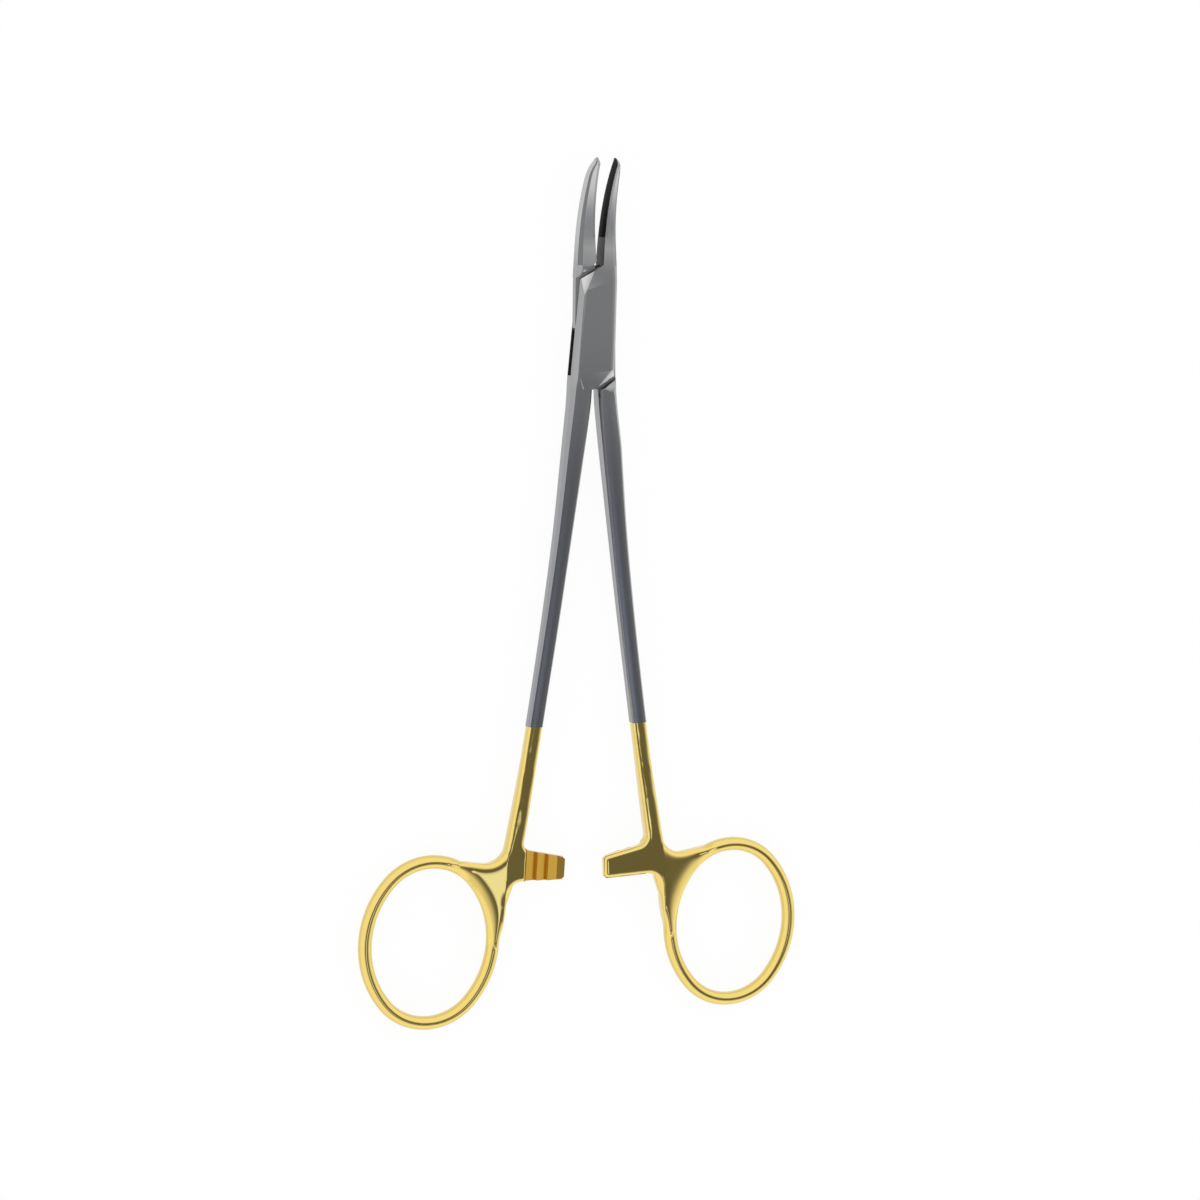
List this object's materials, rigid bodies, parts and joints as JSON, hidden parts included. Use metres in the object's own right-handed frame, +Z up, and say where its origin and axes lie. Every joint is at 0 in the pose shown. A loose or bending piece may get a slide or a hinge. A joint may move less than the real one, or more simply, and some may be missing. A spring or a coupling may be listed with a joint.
{
  "type": "surgical needle holder",
  "caption": "Curved needle holder: two crossed halves joined by a box lock, hard ribbed jaw inserts, finger rings with gilt handles and a toothed ratchet that locks the grip.",
  "frame": {"origin": "on the rivet's axis, in the plane that the box of the lock rests on", "axes": "+Y along the instrument to the jaw tips, +Z up from the table, the way the jaws bend, +X across it to the male half's finger ring"},
  "size_m": [0.1032, 0.1895, 0.0093],
  "materials": {
    "female_half": "satin forged steel, handle polished and gilt from 87 mm behind the rivet",
    "male_half": "satin forged steel, handle polished and gilt from 87 mm behind the rivet",
    "jaw_insert": "sintered carbide with a fine cross-cut grip",
    "rivet": "ground flush and satin finished with the lock"
  },
  "bodies": {
    "female": {"female_half": "female_half", "pivot_rivet": "rivet", "female_jaw_insert": "jaw_insert"},
    "male": {"male_half": "male_half", "male_jaw_insert": "jaw_insert"}
  },
  "joints": [
    {"name": "box_lock", "type": "hinge", "parent": "female", "child": "male", "pos_m": [0, 0, 0.0025], "axis": [0, 0, 1], "range_deg": [-6.1, 55]}
  ]
}
